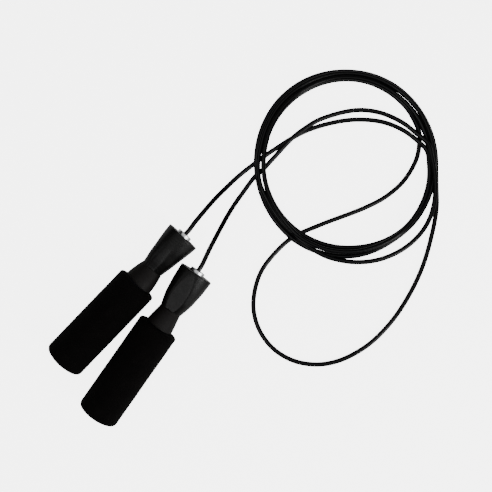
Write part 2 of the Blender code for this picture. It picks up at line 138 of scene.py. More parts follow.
class Shader:
    """A material with a Principled BSDF, and short ways to add nodes to it."""

    def __init__(self, name, colour, roughness, metallic=0.0, **plain):
        self.material = bpy.data.materials.new(name)
        self.material.use_nodes = True
        self.tree = self.material.node_tree
        self.bsdf = self.tree.nodes["Principled BSDF"]
        set_sockets(self.bsdf, {"Base_Color": (*colour, 1.0), "Roughness": roughness,
                                "Metallic": metallic, **plain})

    def group(self, tree, **values):
        """A shared effect with its own values: the group's only output."""
        node = self.tree.nodes.new("ShaderNodeGroup")
        node.node_tree = tree
        set_sockets(node, values)
        return node.outputs[0]

    def link(self, source, socket):
        self.tree.links.new(source, self.bsdf.inputs[socket])

    def blend(self, mask, low, high, socket):
        """Runs a number from low to high with the mask, into the Principled's socket."""
        self.link(range_node(self.tree, mask, To_Min=low, To_Max=high), socket)

    def tint(self, mask, low, high):
        """Runs the base colour from low to high with the mask."""
        node = self.tree.nodes.new("ShaderNodeMix")
        node.data_type = "RGBA"
        sockets = {socket.name: socket for socket in node.inputs if socket.enabled}
        sockets["A"].default_value = (*low, 1.0)
        sockets["B"].default_value = (*high, 1.0)
        self.tree.links.new(mask, sockets["Factor"])
        self.link(next(socket for socket in node.outputs if socket.enabled), "Base Color")

    def bump(self, height, distance, strength):
        node = self.tree.nodes.new("ShaderNodeBump")
        set_sockets(node, {"Distance": distance, "Strength": strength})
        self.tree.links.new(height, node.inputs["Height"])
        self.link(node.outputs["Normal"], "Normal")


def new_group(name, inputs, output):
    """An empty node group with number inputs, given as name: default, and one output."""
    tree = bpy.data.node_groups.new(name, "ShaderNodeTree")
    for label, default in inputs.items():
        socket = tree.interface.new_socket(name=label, in_out="INPUT", socket_type="NodeSocketFloat")
        socket.default_value = default
    tree.interface.new_socket(name=output, in_out="OUTPUT", socket_type="NodeSocketFloat")
    entry = tree.nodes.new("NodeGroupInput").outputs
    leave = tree.nodes.new("NodeGroupOutput").inputs
    return tree, entry, leave


def object_place(tree):
    return tree.nodes.new("ShaderNodeTexCoord").outputs["Object"]


def range_node(tree, value, **ends):
    """A Map Range node's result. ends gives its sockets, such as From_Min."""
    node = tree.nodes.new("ShaderNodeMapRange")
    set_sockets(node, ends)
    tree.links.new(value, node.inputs["Value"])
    return node.outputs["Result"]


def feed(tree, socket, value):
    """Sets a socket to a number, or links another node's output to it."""
    if isinstance(value, (int, float)):
        socket.default_value = value
    else:
        tree.links.new(value, socket)


def math_node(tree, operation, first, second):
    node = tree.nodes.new("ShaderNodeMath")
    node.operation = operation
    feed(tree, node.inputs[0], first)
    feed(tree, node.inputs[1], second)
    return node.outputs["Value"]


def noise_node(tree, place, scale, detail, rough=0.5):
    node = tree.nodes.new("ShaderNodeTexNoise")
    set_sockets(node, {"Detail": detail, "Roughness": rough})
    tree.links.new(place, node.inputs["Vector"])
    feed(tree, node.inputs["Scale"], scale)
    return node.outputs["Fac"]


# ---- Shared effects -------------------------------------------------------------------------------

COARSE_TO_FINE = 0.17                     # scale of the coarse grain, as a share of the fine one
SCRATCH_WAYS = ((0.4, 26.0), (1.9, 34.0))    # for each way that scratches run: a turn, and a stretch


def grain_group():
    """Fine moulded or skin-like grain: a height for a bump."""
    tree, entry, leave = new_group("fine grain", {"Scale": 900.0, "Coarse share": 0.3}, "Height")
    place = object_place(tree)
    fine = noise_node(tree, place, entry["Scale"], detail=2.0)
    coarse_scale = math_node(tree, "MULTIPLY", entry["Scale"], COARSE_TO_FINE)
    coarse = noise_node(tree, place, coarse_scale, detail=2.0)
    share = math_node(tree, "MULTIPLY", coarse, entry["Coarse share"])
    tree.links.new(math_node(tree, "ADD", fine, share), leave["Height"])
    return tree


def handling_group():
    """Soft patches that hands and storage leave: a mask from 0, clean, to 1, rubbed."""
    tree, entry, leave = new_group("handling", {"Scale": 60.0, "Amount": 0.5}, "Mask")
    patches = noise_node(tree, object_place(tree), entry["Scale"], detail=5.0, rough=0.62)
    ramp = range_node(tree, patches, From_Min=0.42, From_Max=0.72)
    tree.links.new(math_node(tree, "MULTIPLY", ramp, entry["Amount"]), leave["Mask"])
    return tree


def scratch_group():
    """Hair-fine scratches that run more than one way: a mask from 0 to 1."""
    tree, entry, leave = new_group("hair scratches", {"Scale": 90.0, "Amount": 0.5}, "Mask")
    place = object_place(tree)
    sets = []
    for turn, stretch in SCRATCH_WAYS:
        mapping = tree.nodes.new("ShaderNodeMapping")
        set_sockets(mapping, {"Rotation": (turn, 0.7 * turn, turn), "Scale": (1.0, stretch, stretch)})
        tree.links.new(place, mapping.inputs["Vector"])
        lines = noise_node(tree, mapping.outputs["Vector"], entry["Scale"], detail=1.0)
        sets.append(range_node(tree, lines, From_Min=0.66, From_Max=0.72))
    both = math_node(tree, "MAXIMUM", *sets)
    tree.links.new(math_node(tree, "MULTIPLY", both, entry["Amount"]), leave["Mask"])
    return tree


def edge_group():
    """Rubbed edges, from how sharply the surface turns: a mask from 0 to 1."""
    tree, entry, leave = new_group("edge wear", {"Amount": 0.5}, "Mask")
    turn = tree.nodes.new("ShaderNodeNewGeometry").outputs["Pointiness"]
    ramp = range_node(tree, turn, From_Min=0.52, From_Max=0.60)
    tree.links.new(math_node(tree, "MULTIPLY", ramp, entry["Amount"]), leave["Mask"])
    return tree


GRAIN = grain_group()
HANDLING = handling_group()
SCRATCHES = scratch_group()
EDGES = edge_group()

# ---- Materials ------------------------------------------------------------------------------------


def foam_material():
    """Closed-cell black foam: matt, with pores of a few tenths of a millimetre, whose hollows are painted
    darker as shade.
    """
    shader = Shader("black foam", (0.0035, 0.003, 0.003), 0.95, Specular_IOR_Level=0.05,
                    Sheen_Weight=0.01)
    tree = shader.tree
    place = object_place(tree)
    voronoi = tree.nodes.new("ShaderNodeTexVoronoi")
    voronoi.inputs["Scale"].default_value = 1700.0
    tree.links.new(place, voronoi.inputs["Vector"])
    cells = voronoi.outputs["Distance"]
    clumps = noise_node(tree, place, 420.0, detail=4.0, rough=0.6)
    height = math_node(tree, "ADD", cells, math_node(tree, "MULTIPLY", clumps, 0.9))
    shader.bump(height, distance=0.35 * MM, strength=0.9)
    patches = noise_node(tree, place, 130.0, detail=5.0, rough=0.65)
    # Painted shade: the colour darkens where the bump is lowest, in the pores' hollows. The patches also
    # vary the tone at random.
    pore_shade_and_patches = math_node(tree, "MULTIPLY", cells, patches)
    shader.tint(pore_shade_and_patches, (0.0016, 0.0013, 0.0013), (0.0085, 0.0072, 0.0070))
    return shader.material


def nose_material(name, colour, worn_colour, roughness, grain, depth):
    """Moulded black plastic with a fine grain, a little rubbed by hands."""
    shader = Shader(name, colour, roughness, Specular_IOR_Level=0.17)
    handled = shader.group(HANDLING, Scale=85.0, Amount=1.0)
    lines = shader.group(SCRATCHES, Scale=70.0, Amount=0.6)
    worn = shader.group(EDGES, Amount=0.8)
    shader.tint(math_node(shader.tree, "MAXIMUM", lines, worn), colour, worn_colour)
    shader.blend(handled, roughness, roughness - 0.07, "Roughness")
    shader.bump(shader.group(GRAIN, Scale=grain, Coarse_share=0.5), depth, strength=0.5)
    return shader.material


def cord_material():
    """Glossy black PVC: drawn smooth, with a faint unevenness and dulled patches."""
    shader = Shader("black PVC cord", (0.0030, 0.0030, 0.0034), 0.20, Specular_IOR_Level=0.14)
    dulled = shader.group(HANDLING, Scale=45.0, Amount=1.0)
    lines = shader.group(SCRATCHES, Scale=120.0, Amount=0.5)
    shader.blend(dulled, 0.17, 0.27, "Roughness")
    shader.tint(lines, (0.0028, 0.0028, 0.0032), (0.012, 0.012, 0.013))
    height = shader.group(GRAIN, Scale=240.0, Coarse_share=1.0)
    shader.bump(height, distance=0.06 * MM, strength=0.35)
    return shader.material


def metal_material(name, colour, polished, dull):
    """Bare or plated metal. Its roughness runs from polished to dull where it is scratched or handled."""
    shader = Shader(name, colour, polished, 1.0)
    handled = shader.group(HANDLING, Scale=260.0, Amount=1.0)
    lines = shader.group(SCRATCHES, Scale=420.0, Amount=0.7)
    smeared = math_node(shader.tree, "MULTIPLY", handled, 0.5)
    shader.blend(math_node(shader.tree, "MAXIMUM", lines, smeared), polished, dull, "Roughness")
    shader.tint(handled, colour, tuple(0.82 * part for part in colour))
    height = shader.group(GRAIN, Scale=1400.0, Coarse_share=0.6)
    shader.bump(height, distance=0.04 * MM, strength=0.4)
    return shader.material


# ---- Stage ----------------------------------------------------------------------------------------

FLOOR_GLOW = 5.0                          # what shows of the lit table
FLOOR_MIRRORED = 0.03                     # what the black parts mirror of it
FLOOR_REACH = 4.0
WORLD_LIGHT = 0.03
LIT_MIDDLE = (0.06, 0.05, 0.0)            # what every panel faces
PANELS = (                                # name, place, width and length, watts
    ("top light", (0.06, 0.05, 1.8), (2.2, 2.2), 14.0),
    ("strip right", (0.78, -0.50, 0.75), (0.16, 0.9), 5.0),
    ("low right", (0.85, -0.71, 0.27), (0.5, 1.2), 3.0),
    ("rear light", (-0.47, -0.49, 1.41), (0.45, 0.45), 2.3),
    ("left fill", (-0.9, 0.3, 0.7), (0.5, 0.7), 1.0),
)


def floor():
    """A white lit table."""
    bm = bmesh.new()
    bmesh.ops.create_grid(bm, x_segments=1, y_segments=1, size=FLOOR_REACH)
    mesh = bpy.data.meshes.new("floor")
    bm.to_mesh(mesh)
    bm.free()
    shader = Shader("white table", (0.90, 0.90, 0.89), 0.9, Specular_IOR_Level=0.0,
                    Emission_Color=(1.0, 1.0, 0.995, 1.0))
    seen = shader.tree.nodes.new("ShaderNodeLightPath").outputs["Is Camera Ray"]
    shader.blend(seen, FLOOR_MIRRORED, FLOOR_GLOW, "Emission Strength")
    mesh.materials.append(shader.material)
    add_object("floor", mesh)


def lights():
    """A dim even world, and soft panels round the table."""
    world = bpy.data.worlds.new("studio")
    bpy.context.scene.world = world
    world.use_nodes = True
    set_sockets(world.node_tree.nodes["Background"],
                {"Color": (1.0, 1.0, 1.0, 1.0), "Strength": WORLD_LIGHT})
    for name, place, size, power in PANELS:
        lamp = bpy.data.lights.new(name, "AREA")
        lamp.shape = "RECTANGLE"
        lamp.size, lamp.size_y = size
        lamp.energy = power
        made = add_object(name, lamp)
        made.location = place
        facing = Vector(LIT_MIDDLE) - Vector(place)
        made.rotation_euler = facing.to_track_quat("-Z", "Y").to_euler()


# ---- The cord's route -----------------------------------------------------------------------------

COIL_CENTRE = Vector((181.5, 134.8)) * MM
COIL_RADIUS = 73.1 * MM
COIL_STRETCH = 1.027                      # along Y

# Points of the free stretches, in millimetres, from the bearings onwards.
LEADS = {
    "a": [(53.1, 84.4, 17.0), (61.6, 94.9, 14.4), (70.2, 105.2, 9.6), (79.5, 114.9, 4.8),
          (89.3, 124.3, 2.3), (102.9, 135.1, 2.1)],
    "b": [(65.7, 62.9, 16.4), (72.0, 75.3, 12.6), (78.3, 87.4, 7.6), (85.1, 99.0, 3.6),
          (92.9, 110.2, 2.1), (103.7, 124.5, 2.1)],
}
CROSSINGS = {
    "a": [(108.5, 139.3, 2.1), (121.0, 147.8, 2.1), (145.2, 162.1, 2.1), (171.2, 170.0, 2.1),
          (191.4, 172.1, 2.1), (211.6, 169.8, 2.3), (228.5, 162.7, 5.0), (240.9, 153.2, 6.6),
          (248.5, 145.1, 6.6)],
    "b": [(108.5, 128.5, 2.1), (119.5, 140.1, 4.6), (133.4, 155.0, 6.6), (145.0, 164.1, 6.2),
          (158.5, 172.1, 2.4), (187.4, 179.7, 2.1), (207.7, 177.9, 2.1), (226.3, 169.8, 4.6),
          (238.0, 160.6, 6.6), (248.2, 150.9, 6.6)],
}
RETURN = [(136.5, 72.4, 2.1), (158.9, 83.2, 2.1), (196.8, 97.8, 2.1), (214.7, 107.4, 2.1),
          (229.8, 121.0, 2.1), (239.9, 138.5, 2.1), (242.4, 150.4, 2.1), (242.4, 161.8, 2.1),
          (234.5, 178.9, 2.1)]
LOOP = [(136.5, 73.2, 2.1), (124.5, 63.7, 2.1), (107.9, 42.3, 2.1), (101.9, 16.1, 2.1),
        (106.0, -3.7, 2.1), (117.5, -20.5, 2.1), (134.5, -31.4, 2.1), (154.4, -35.2, 2.1),
        (174.5, -31.9, 2.1), (198.4, -19.1, 2.1), (217.7, -0.3, 2.1), (233.0, 22.1, 2.1),
        (244.8, 46.5, 2.1), (252.6, 72.5, 2.1), (257.1, 96.9, 2.1), (257.0, 115.9, 2.1)]

# How each handle's turns lie. A row gives the angle round the coil, counted on from turn to turn, how far
# outside the coil's middle the cord shows from above, in millimetres, and the layer it is dropped from.
WINDINGS = {
    "a": [(8.7, -4.6, 1.3), (0, -3.0, 1.2), (-20, -1.4, 1.1), (-30, -0.8, 2), (-50, 0.2, 2),
          (-60, -0.2, 2), (-70, -0.6, 1.5), (-80, -0.4, 1.3), (-95, -0.4, 1.2), (-110, -0.4, 1.2),
          (-125, -0.7, 1.6), (-140, -2.6, 2), (-170, -2.2, 2), (-187, -2.2, 2), (-200, -1.7, 2),
          (-220, -1.4, 1.7), (-270, -1.0, 1.5), (-310, -1.2, 1.5), (-330, -1.4, 1), (-342, -1.7, 0.6),
          (-352, -2.4, 0.3), (-370, -2.0, 0), (-400, -0.8, 0), (-410, -0.8, 0), (-420, -1.8, 0),
          (-430, -2.8, 0), (-440, -3.6, 0), (-450, -4.0, 0), (-470, -4.0, 0), (-490, -3.6, 0),
          (-510, -2.8, 0), (-530, -2.2, 0), (-560, -1.9, 0), (-600, -2.8, 0), (-640, -2.9, 0),
          (-660, -3.6, 0), (-672, -4.0, 0), (-680.2, -4.6, 0)],
    "b": [(-13.7, 3.6, 0), (0, 2.7, 0), (30, 2.8, 0), (60, 3.4, 0), (90, 3.4, 0), (120, 4.7, 0),
          (140, 5.1, 0), (160, 4.7, 0), (190, 3.7, 0), (220, 3.7, 0), (250, 3.6, 0), (270, 3.4, 0),
          (280, 2.7, 0), (290, 1.7, 0.1), (300, 0.9, 0.8), (310, 0.8, 1), (320, 1.4, 1), (346, 1.8, 1),
          (360, 1.2, 1), (390, 1.4, 1), (420, 1.9, 1), (450, 2.2, 1), (480, 2.2, 1), (500, 2.2, 1),
          (520, 1.5, 1), (530, 1.4, 1), (537, 2.6, 1), (549, 2.9, 1), (556, 2.2, 1), (563, 0.9, 0.9),
          (572, 0.3, 0.8), (580, 0.1, 0.8), (590, 0.3, 0.8), (600, 1.4, 0.9), (610, 3.7, 1),
          (620, 5.9, 0.8), (630, 7.4, 0.2), (640, 9.2, 0), (650, 10.5, 0), (660, 11.4, 0),
          (670, 11.7, 0), (680, 11.2, 0.3), (690, 9.7, 1), (700, 6.8, 1.6), (710, 3.2, 2),
          (725, -1.0, 1.9), (734.5, -4.0, 1.5)],
}
TURN_STEP = 9.0                           # degrees between two points of a turn
LOWEST = CORD_RADIUS + CORD_LIFT          # height of the middle of a cord that lies on the floor
LAYER = 2 * CORD_RADIUS + 0.1 * MM
# The turns pass over cord that lies under them near these angles, in the widths given.
HUMPS = ((182.0, 24.0), (234.0, 20.0))
GRID = 2.0 * MM                           # between two points of the finished cord
SPAN_STEPS = 14                           # of the smooth curve, between two points of the route


def handle_frame(side):
    """The handle's own frame, with X up."""
    joint = JOINTS[f"handle_{side}_spin"]
    along = Vector(joint["axis"]).normalized()
    up = Vector((0.0, 0.0, 1.0))
    stand = Matrix((up, along.cross(up), along)).transposed()
    return Matrix.Translation(joint["pos_m"]) @ stand.to_4x4()


def on_axis(side):
    """The cord's points inside the handle and straight out of its bearing."""
    placed = handle_frame(side)
    places = (CORD_TAIL, BEARING_BACK, BEARING_FACE, BEARING_FACE + 2 * CORD_RADIUS)
    return [placed @ Vector((0.0, 0.0, z)) for z in places]


def millimetres(rows):
    return [Vector(row) * MM for row in rows]


def winding(side):
    """Points along a handle's turns of the coil."""
    angles, offsets, layers = zip(*WINDINGS[side])
    way = 1 if angles[-1] > angles[0] else -1
    rising = [way * angle for angle in angles]
    steps = round(abs(angles[-1] - angles[0]) / TURN_STEP)
    eye = Vector(CAMERA_PLACE)
    points = []
    for i in range(1, steps):
        angle = angles[0] + (angles[-1] - angles[0]) * i / steps
        reach = COIL_RADIUS + np.interp(way * angle, rising, offsets) * MM
        layer = np.interp(way * angle, rising, layers)
        raised = sum(math.exp(-(((angle - at + 180) % 360 - 180) / wide) ** 2) for at, wide in HUMPS)
        turn = math.radians(angle)
        shown = COIL_CENTRE + Vector((reach * math.cos(turn), reach * COIL_STRETCH * math.sin(turn)))
        height = LOWEST + LAYER * (layer + min(1.0, raised))
        # A raised turn shows farther from the point under the camera than it is.
        place = eye.xy + (shown - eye.xy) * (1 - height / eye.z)
        points.append(Vector((*place, height)))
    return points


def smooth(points):
    """Points along one smooth curve through the route's points, none of them under the floor."""
    path = [2 * points[0] - points[1], *points, 2 * points[-1] - points[-2]]
    pace = [(after - before).length ** 0.5 for before, after in zip(path, path[1:])]
    curve = []
    for i in range(1, len(path) - 2):
        before, start, end, after = path[i - 1:i + 3]
        come, go, leave = pace[i - 1:i + 2]
        off = ((start - before) / come - (end - before) / (come + go) + (end - start) / go) * go
        on = ((end - start) / go - (after - start) / (go + leave) + (after - end) / leave) * go
        for k in range(SPAN_STEPS):
            t = k / SPAN_STEPS
            curve.append(start + off * t + (3 * (end - start) - 2 * off - on) * t * t
                         + (2 * (start - end) + off + on) * t ** 3)
    curve.append(points[-1])
    return np.array([(point.x, point.y, max(point.z, LOWEST)) for point in curve])


def spaced(line):
    """The line's points moved along it, one for each grid step."""
    along = np.concatenate([[0.0], np.cumsum(np.linalg.norm(np.diff(line, axis=0), axis=1))])
    at = np.linspace(0.0, along[-1], round(along[-1] / GRID) + 1)
    return np.stack([np.interp(at, along, line[:, k]) for k in range(3)], axis=1)


def nearest(line, point):
    return int(np.argmin(np.linalg.norm(line - np.array(point), axis=1)))


# ---- How the cord settles -------------------------------------------------------------------------

TOUCH = 2 * CORD_RADIUS + 0.06 * MM       # between the middles of two strands that touch
ROUNDS = 420
FALL = 0.05 * MM                          # in each round
FALLING = 0.85                            # share of the rounds in which the cord falls
# How far along, in points, the cord's stiffness reaches, and how strongly it evens out there.
STIFFNESS = ((1, 0.4), (2, 0.25), (4, 0.2), (7, 0.1))
KEEPING = 0.30                            # how strongly it keeps to its route, in each round
SEARCH_EVERY = 30                         # rounds between two searches for strands that are near
SEARCH_REACH = 3 * TOUCH
SEARCH_APART = 7                          # points along the cord that count as the same strand
PASSES = 4                                # of contacts and lengths in each round
# What a point's moves are divided by: a start, and what each contact on the point adds.
CONTACT_START, CONTACT_SHARE = 0.6, 0.4


def near_pairs(line):
    """Points that are near each other without being neighbours on the line."""
    near = ((line[:, None, :] - line[None, :, :]) ** 2).sum(-1) < SEARCH_REACH ** 2
    return np.nonzero(np.triu(near[:-1, :-1], SEARCH_APART))


def shares(line, one, other):
    """Where two straight bits of the line come nearest each other: the share of the way along each."""
    along, across = line[one + 1] - line[one], line[other + 1] - line[other]
    between = line[one] - line[other]
    a, b, e = ((p * q).sum(1) for p, q in ((along, along), (along, across), (across, across)))
    c, f = (along * between).sum(1), (across * between).sum(1)
    s = np.clip((b * f - c * e) / np.maximum(a * e - b * b, 1e-4 * a * e), 0, 1)
    t = np.clip((b * s + f) / e, 0, 1)
    return np.clip((b * t - c) / a, 0, 1)[:, None], t[:, None]


def stiffen(line, wanted, weight):
    """Evens out how far the cord is from its route, and draws it back to the route sideways."""
    moved = line - wanted
    moved[:, 2] = line[:, 2]
    bend = np.zeros_like(line)
    for reach, share in STIFFNESS:
        bend[reach:-reach] += share * ((moved[:-2 * reach] + moved[2 * reach:]) / 2 - moved[reach:-reach])
    line += bend * weight
    line[:, :2] += (wanted[:, :2] - line[:, :2]) * weight * KEEPING


def part(line, one, other, weight):
    """Moves strands that lie in each other apart."""
    s, t = shares(line, one, other)
    gap = line[one] * (1 - s) + line[one + 1] * s - line[other] * (1 - t) - line[other + 1] * t
    distance = np.linalg.norm(gap, axis=1)
    short = distance < TOUCH
    a, b, s, t = one[short], other[short], s[short], t[short]
    push = gap[short] / distance[short, None] * (TOUCH - distance[short, None]) * 0.5
    move = np.zeros_like(line)
    count = np.full((len(line), 1), CONTACT_START)
    for at, share in ((a, 1 - s), (a + 1, s), (b, t - 1), (b + 1, -t)):
        np.add.at(move, at, share * push)
        np.add.at(count, at, CONTACT_SHARE * abs(share))
    line += move / count * weight


def mend_lengths(line, step, weight):
    """Brings each bit of the cord back to its own length, every second one at a time."""
    for first in (0, 1):
        run = line[first + 1::2] - line[first:-1:2]
        length = np.linalg.norm(run, axis=1)[:, None]
        mend = run / length * (length - step[first::2]) * 0.5
        line[first:-1:2] += mend * weight[first:-1:2]
        line[first + 1::2] -= mend * weight[first + 1::2]


def dropped(wanted, held):
    """The cord after it has settled: no stretch lies in another, and it rests on what is under it."""
    line = wanted.copy()
    free = ~held
    weight = free[:, None].astype(float)
    step = np.linalg.norm(np.diff(wanted, axis=0), axis=1)[:, None]
    for number in range(ROUNDS):
        if number % SEARCH_EVERY == 0:
            one, other = near_pairs(line)
        if number < FALLING * ROUNDS:
            line[free, 2] -= FALL
        stiffen(line, wanted, weight)
        for _ in range(PASSES):
            part(line, one, other, weight)
            mend_lengths(line, step, weight)
            line[:, 2] = np.maximum(line[:, 2], LOWEST)
    return line


def cord():
    """The whole cord, from the ferrule in one handle to the ferrule in the other, as one curve."""
    start, end = on_axis("a"), on_axis("b")
    points = start + millimetres(LEADS["a"])
    lead_a = points[-1]
    points += millimetres(CROSSINGS["a"]) + winding("a")
    points += millimetres(RETURN[:0:-1] + LOOP) + winding("b")
    points += millimetres(CROSSINGS["b"][::-1])
    lead_b = Vector(LEADS["b"][-1]) * MM
    points += millimetres(LEADS["b"][::-1]) + end[::-1]
    line = spaced(smooth(points))
    held = np.zeros(len(line), bool)
    held[:nearest(line, lead_a)] = True
    held[nearest(line, lead_b):] = True
    line = dropped(line, held)
    curve = bpy.data.curves.new("cord", "CURVE")
    curve.dimensions = "3D"
    curve.bevel_depth = CORD_RADIUS
    curve.bevel_resolution = 6
    curve.use_fill_caps = True
    spline = curve.splines.new("POLY")
    spline.points.add(len(line) - 1)
    for at, place in zip(spline.points, line):
        at.co = (*place, 1.0)
    spline.use_smooth = True
    curve.materials.append(cord_material())
    made = add_object("cord", curve)
    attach(made, "rope")
    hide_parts("cord_lead_a", "cord_lead_b", "cord_crossing_a", "cord_crossing_b",
                "cord_return", "cord_loop", "cord_coil")


# ---- Solids turned or lofted about a handle's axis ------------------------------------------------


def finish_mesh(name, bm, looks, placed, body, sharp=35.0):
    """A finished piece from its bmesh, with edges sharper than sharp degrees kept crisp."""
    bmesh.ops.recalc_face_normals(bm, faces=bm.faces)
    mesh = bpy.data.meshes.new(name)
    bm.to_mesh(mesh)
    bm.free()
    mesh.shade_smooth()
    mesh.set_sharp_from_angle(angle=math.radians(sharp))
    for material in looks:
        mesh.materials.append(material)
    made = add_object(name, mesh)
    made.matrix_world = placed
    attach(made, body)
    return made


def skin(bm, rings, closed, second_from=None):
    """Faces from ring to ring. The second material starts at the ring second_from."""
    pairs = list(zip(rings, rings[1:]))
    if closed:
        pairs.append((rings[-1], rings[0]))
    else:
        bm.faces.new(rings[0])
        bm.faces.new(rings[-1])
    for number, (one, other) in enumerate(pairs):
        for i in range(len(one)):
            face = bm.faces.new((one[i - 1], one[i], other[i], other[i - 1]))
            if second_from is not None and number >= second_from:
                face.material_index = 1


def ring_of(bm, z, radii):
    """One ring of points about Z. radii gives the radius at each of its evenly spaced angles."""
    count = len(radii)
    angles = (math.tau * i / count for i in range(count))
    return [bm.verts.new((r * math.cos(a), r * math.sin(a), z)) for r, a in zip(radii, angles)]


def rounded(profile, radius, steps=4):
    """The closed (radius, z) outline with each corner rounded off."""
    out = []
    for before, at, after in zip(profile[-1:] + profile[:-1], profile, profile[1:] + profile[:1]):
        p, q, r = Vector(before), Vector(at), Vector(after)
        cut = min(radius, 0.4 * (p - q).length, 0.4 * (r - q).length)
        first, last = q + (p - q).normalized() * cut, q + (r - q).normalized() * cut
        for k in range(steps + 1):
            t = k / steps
            out.append(tuple((1 - t) ** 2 * first + 2 * t * (1 - t) * q + t * t * last))
    return out


def turned(name, profile, look, side, body, segments, round_by):
    """A ring-shaped piece turned from a closed (radius, z) outline."""
    bm = bmesh.new()
    skin(bm, [ring_of(bm, z, [r] * segments) for r, z in rounded(profile, round_by)], True)
    return finish_mesh(f"{name}_{side}", bm, [look], handle_frame(side), body)


# ---- Nose -----------------------------------------------------------------------------------------

ROLLS = {"a": 86.0, "b": -5.5}            # degrees about its own axis, as each handle lies
# The flare, with two wide flats and two narrow ones cut into it: the distance from the nose's end and how
# much less than the nose's radius it is, in millimetres, then half the turn of a wide and a narrow flat.
FLARE_SECTIONS = (
    (1.5, 0.0, 2.0, 2.0),
    (3.6, 0.05, 12.0, 2.0),
    (6.0, 0.15, 17.0, 2.0),
    (10.2, 0.35, 23.5, 2.0),
    (14.3, 0.65, 27.5, 5.0),
    (18.4, 1.10, 30.5, 10.0),
    (22.6, 1.55, 32.5, 14.0),
    (26.7, 2.10, 33.0, 17.0),
    (30.8, 3.05, 32.0, 18.5),
    (34.6, 4.10, 28.0, 19.3),
    (36.4, 4.60, 26.0, 19.3),
)
FLARE_STEP = 0.7
WAIST_STEPS = ((36.75, 0.10), (36.95, 0.45))    # the step behind the flare: distance, and inset from it
# The oval neck: the distance and its two half widths, in millimetres.
NECK_SECTIONS = (
    (37.4, 9.80, 9.50),
    (39.9, 10.50, 9.75),
    (43.2, 11.25, 10.30),
    (46.5, 11.90, 10.90),
    (49.8, 12.35, 11.45),
    (54.1, 12.75, 12.00),
)
NECK_STEP = 0.9
NECK_END = 54.15 * MM
NOSE_POINTS = 144
EDGE_STEPS = 4
CORNER_POWER = 70.0                       # the higher, the crisper the edges between flats and curves
FLAT_FACES = 0.3                          # a flat cuts only where the surface faces it by more than this


def eased(rows, at):
    """The rows' values at a distance between them, along a smooth curve through the rows."""
    keys = [row[0] for row in rows]
    i = min(max(int(np.searchsorted(keys, at)) - 1, 0), len(rows) - 2)
    t = (at - keys[i]) / (keys[i + 1] - keys[i])
    before, after = rows[max(i - 1, 0)], rows[min(i + 2, len(rows) - 1)]
    values = []
    for k in range(1, len(rows[0])):
        p0, p1, p2, p3 = before[k], rows[i][k], rows[i + 1][k], after[k]
        values.append(0.5 * (2 * p1 + (p2 - p0) * t + (2 * p0 - 5 * p1 + 4 * p2 - p3) * t * t
                             + (3 * p1 - p0 - 3 * p2 + p3) * t ** 3))
    return values


def flare_radii(distance):
    """Radii round one section of the flare: a circle cut by two wide flats and two narrow ones."""
    inset, wide, narrow = eased(FLARE_SECTIONS, distance)
    radius = NOSE_RADIUS - inset * MM
    radii = []
    for i in range(NOSE_POINTS):
        angle = math.tau * i / NOSE_POINTS
        limits = [radius]
        for half, across in ((wide, math.cos(angle)), (narrow, math.sin(angle))):
            if abs(across) > FLAT_FACES:
                limits.append(radius * math.cos(math.radians(half)) / abs(across))
        radii.append(sum(limit ** -CORNER_POWER for limit in limits) ** (-1 / CORNER_POWER))
    return radii


def oval_radii(across_wide, across_narrow):
    angles = (math.tau * i / NOSE_POINTS for i in range(NOSE_POINTS))
    return [1 / math.hypot(math.cos(a) / across_wide, math.sin(a) / across_narrow) for a in angles]


def stations(sections, step):
    """Distances from the first section to the last one."""
    return np.arange(sections[0][0], sections[-1][0] + 0.01, step)


def handle_nose(side, looks):
    """The moulded nose and its tube, with the flats' edges and the step at the waist drawn fine."""
    bm = bmesh.new()

    def round_rings(*rows):
        return [ring_of(bm, z, [radius] * NOSE_POINTS) for z, radius in rows]

    rim, dip = NOSE_RADIUS - 2.0 * MM, 0.05 * MM
    rings = round_rings((-SEAT_DEPTH, SHOULDER_HOLE), (-SEAT_DEPTH, SEAT_RADIUS),
                        (-SEAT_CHAMFER, SEAT_RADIUS), (0.0, SEAT_RADIUS + SEAT_CHAMFER),
                        (0.0, rim - 0.2 * MM), (-dip, rim))
    for k in range(EDGE_STEPS + 1):
        turn = math.radians(90.0 * k / EDGE_STEPS)
        rings += round_rings((-dip - NOSE_EDGE * (1 - math.cos(turn)),
                              NOSE_RADIUS - NOSE_EDGE + NOSE_EDGE * math.sin(turn)))
    for distance in stations(FLARE_SECTIONS, FLARE_STEP):
        rings.append(ring_of(bm, -distance * MM, flare_radii(distance)))
    waist = flare_radii(FLARE_SECTIONS[-1][0])
    for distance, inset in WAIST_STEPS:
        rings.append(ring_of(bm, -distance * MM, [radius - inset * MM for radius in waist]))
    neck_from = len(rings) - 1
    for distance in stations(NECK_SECTIONS, NECK_STEP):
        widths = eased(NECK_SECTIONS, distance)
        rings.append(ring_of(bm, -distance * MM, oval_radii(*(width * MM for width in widths))))
    inside = TUBE_RADIUS - TUBE_WALL
    tube_end = -NOSE_LENGTH - GRIP_LENGTH + GRIP_END_WALL
    rings += round_rings((-NECK_END, TUBE_RADIUS), (tube_end, TUBE_RADIUS), (tube_end, inside),
                         (-TUBE_FUNNEL[0], inside), (-TUBE_FUNNEL[1], NOSE_HOLLOW),
                         (-SHOULDER_BACK, NOSE_HOLLOW), (-SHOULDER_BACK, SHOULDER_HOLE))
    skin(bm, rings, True, neck_from)
    placed = handle_frame(side) @ Matrix.Rotation(math.radians(ROLLS[side]), 4, "Z")
    made = finish_mesh(f"nose_{side}", bm, looks, placed, f"handle_{side}",
                       sharp=28.0)
    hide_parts(f"handle_core_{side}")


# ---- Foam sleeve ----------------------------------------------------------------------------------

